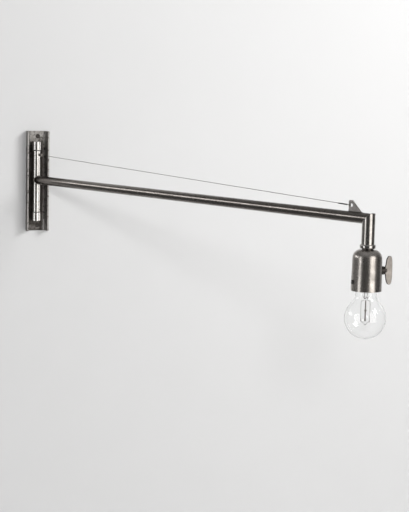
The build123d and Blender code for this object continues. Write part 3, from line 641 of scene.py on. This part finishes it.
def bulb_wires():
    lead = ((1.9, 6.0), (1.9, -4.0), (1.7, -10.5), (2.1, -13.6), (4.9, -15.2), (6.35, -18.0), (6.4, -30.0),
            (6.4, -44.0))
    clamp = ((6.4, 0, -42.6), (6.4, 0, -43.0), (6.35, -0.1, -44.1), (6.1, -0.3, -44.6))
    thick, thin, thick_steps = 0.46, 0.29, 22
    leads = bmesh.new()
    for side in (-1, 1):
        path = smooth_path([(side * x, 0, z) for x, z in lead], 8)
        sweep(leads, LEAD_FRAME, path, lambda i: thick if i < thick_steps else thin, 8)
        sweep(leads, LEAD_FRAME, smooth_path([(side * x, y, z) for x, y, z in clamp], 4), thick, 8)
    finish_piece("bulb_leads", leads, lead_metal, "bulb", "lead_metal", "lead_wires")
    points = [(-6.4, 0, -44.35), (-3.2, -3.0, -45.7), (0, -3.0, -49.2), (3.2, -3.0, -45.7), (6.4, 0, -44.35)]
    filament = bmesh.new()
    sweep(filament, LEAD_FRAME, coil(smooth_path(points, 12), 0.27, 40, 9), 0.11, 5)
    finish_piece("filament_coil", filament, filament_metal, "bulb", "lead_metal", "filament")
    hooks = bmesh.new()
    root = Vector((0, 0, -42.4))
    for tip in map(Vector, points[1:-1]):
        reach = (tip - root).normalized()
        stem = smooth_path([root + reach * 1.3, root.lerp(tip, 0.6), tip - reach * 0.5], 4)
        ring = [tip + 0.42 * Vector((math.cos(t), 0.0, math.sin(t))) for t in circle(10, math.pi / 2)]
        sweep(hooks, LEAD_FRAME, stem + ring, 0.09, 5)
    finish_piece("filament_supports", hooks, filament_metal, "bulb", "lead_metal", "filament_hooks")


stay_cable()
stay_twist()
stay_loop()
welds()
cable_lug()
bulb_glass()
bulb_wires()


# ---------------------------------------------------------------- wall, floor, lamps and world
def stage_sheet(name, corners, mat):
    mesh = bpy.data.meshes.new(name)
    mesh.from_pydata(corners, [], [(0, 1, 2, 3)])
    mesh.materials.append(mat)
    obj = bpy.data.objects.new(name, mesh)
    scene.collection.objects.link(obj)


def wall_material(name, colour, glow):
    """Pale paint with a small glow. Its back doesn't show, nor do reflections and shadow rays meet it to the
    left of the picture and above it."""
    mat, n = material(name)
    v = n.object_vector()
    mottle = n.noise(v, 7.0, 3.0, 0.5)
    fine = n.noise(v, 260.0, 3.0, 0.6)
    place = n.add("ShaderNodeSeparateXYZ", None, Vector=v)
    across = n.span(place.outputs["X"], -0.1, 0.75, 0.0, 1.0)
    height = n.span(place.outputs["Z"], -0.45, 0.40, 0.25, 1.0)
    lit = n.math("MULTIPLY", across, height)
    tint = n.mix(n.span(mottle, 0.3, 0.7, 0.0, 1.0), tuple(c * 0.985 for c in colour), colour)
    tint = n.mix(lit, tint, (0.66, 0.66, 0.66))
    bump = n.add("ShaderNodeBump", None, Height=fine, Strength=0.15, Distance=0.0002)
    diffuse = n.add("ShaderNodeBsdfDiffuse", None, Color=tint, Normal=bump.outputs["Normal"])
    path = n.add("ShaderNodeLightPath")
    seen = n.math("ADD", path.outputs["Is Camera Ray"], path.outputs["Is Glossy Ray"], clamp=True)
    seen = n.math("ADD", seen, path.outputs["Is Transmission Ray"], clamp=True)
    light = n.add("ShaderNodeEmission", None, Color=tint, Strength=n.math("MULTIPLY", seen, glow))
    both = n.add("ShaderNodeAddShader", None, i0=diffuse.outputs[0], i1=light.outputs[0])
    geometry = n.add("ShaderNodeNewGeometry")
    left = n.span(place.outputs["X"], -0.16, -0.10, 1.0, 0.0)
    above = n.span(place.outputs["Z"], 0.34, 0.42, 0.0, 1.0)
    beyond = n.math("MAXIMUM", left, above)
    reflected = n.math("MAXIMUM", path.outputs["Is Glossy Ray"], path.outputs["Is Shadow Ray"])
    open_part = n.math("MAXIMUM", geometry.outputs["Backfacing"], n.math("MULTIPLY", beyond, reflected))
    mix = n.add("ShaderNodeMixShader", None, Fac=open_part)
    n.put(mix.inputs[1], both.outputs[0])
    n.put(mix.inputs[2], n.add("ShaderNodeBsdfTransparent").outputs[0])
    n.add("ShaderNodeOutputMaterial", None, Surface=mix.outputs[0])
    return mat


WALL_Y = -0.3 * MM
WALL_TOP = 1.5
FLOOR_Z = -1.35
FLOOR_FRONT = -3.0
HALF_WIDTH = 2.2
paint = wall_material("wall_paint", (0.60, 0.60, 0.60), 0.03)
stage_sheet("wall", [(-HALF_WIDTH, WALL_Y, FLOOR_Z), (HALF_WIDTH, WALL_Y, FLOOR_Z),
                     (HALF_WIDTH, WALL_Y, WALL_TOP), (-HALF_WIDTH, WALL_Y, WALL_TOP)], paint)
stage_sheet("floor", [(-HALF_WIDTH, FLOOR_FRONT, FLOOR_Z), (HALF_WIDTH, FLOOR_FRONT, FLOOR_Z),
                      (HALF_WIDTH, WALL_Y, FLOOR_Z), (-HALF_WIDTH, WALL_Y, FLOOR_Z)], paint)


def softbox(name, place, target, size, radiance, colour=(1, 1, 1), unseen=()):
    """A rectangular lamp of an even radiance, left out of the kinds of ray in unseen."""
    data = bpy.data.lights.new(name, "AREA")
    data.shape = "RECTANGLE"
    data.size, data.size_y = size
    data.energy = radiance * size[0] * size[1] * math.pi
    data.color = colour
    lamp = bpy.data.objects.new(name, data)
    lamp.location = place
    lamp.rotation_euler = (Vector(target) - Vector(place)).to_track_quat("-Z", "Y").to_euler()
    for kind in ("camera", *unseen):
        setattr(lamp, "visible_" + kind, False)
    scene.collection.objects.link(lamp)


ORIGIN = (0, 0, 0)
HEAD = HEAD_FRAME.to_translation() + Vector((0, 0, -0.08))
softbox("key_light", HEAD + Vector((0.84, -2.08, 0.36)), HEAD, (1.60, 2.20), 3.1, (1.0, 0.985, 0.965))
softbox("side_light", HEAD + Vector((-1.956, -0.416, 0.0)), HEAD, (0.50, 1.80), 3.3, (0.98, 0.99, 1.0),
        ("diffuse", "transmission"))
softbox("front_light", HEAD + Vector((-0.57, -2.38, 0.88)), HEAD, (0.40, 0.40), 54.0, unseen=("glossy",))
softbox("key_fill", (1.81, -2.01, 1.31), ORIGIN, (1.0, 1.0), 16.5, unseen=("glossy",))
softbox("right_strip", (0.55, -0.25, -0.05), ORIGIN, (0.26, 0.30), 2.2, unseen=("diffuse", "transmission"))
softbox("far_light", (-2.40, 0.62, 0.70), (0.17, -0.38, 0.0), (1.90, 0.66), 4.6, (0.99, 0.99, 1.0),
        ("transmission",))


def world():
    """A dark room for reflections, and a pale one for the camera and through glass."""
    w = bpy.data.worlds.new("studio")
    w.use_nodes = True
    scene.world = w
    n = Nodes(w.node_tree)
    vector = n.add("ShaderNodeTexCoord").outputs["Generated"]
    split = n.add("ShaderNodeSeparateXYZ", None, Vector=vector)
    up = n.span(split.outputs["Z"], -1.0, 1.0, 0.0, 1.0)
    room = n.ramp(up, [(0.0, (0.20, 0.195, 0.19)), (0.45, (0.08, 0.08, 0.08)), (0.62, (0.10, 0.10, 0.10)),
                       (1.0, (0.45, 0.45, 0.46))])
    behind = n.span(split.outputs["Y"], -0.1, 0.5, 0.0, 1.0)
    grey = n.span(split.outputs["X"], -0.75, -0.2, 0.20, 0.42)
    room = n.mix(behind, room, n.add("ShaderNodeCombineColor", None, i0=grey, i1=grey, i2=grey).outputs[0])
    path = n.add("ShaderNodeLightPath")
    open_view = n.math("MAXIMUM", path.outputs["Is Camera Ray"], path.outputs["Is Transmission Ray"])
    seen = n.mix(open_view, room, (0.83, 0.835, 0.84))
    back = n.add("ShaderNodeBackground", None, Color=seen, Strength=1.0)
    n.add("ShaderNodeOutputWorld", None, Surface=back.outputs[0])


world()
scene.view_settings.view_transform = "Standard"

bpy.context.view_layer.update()
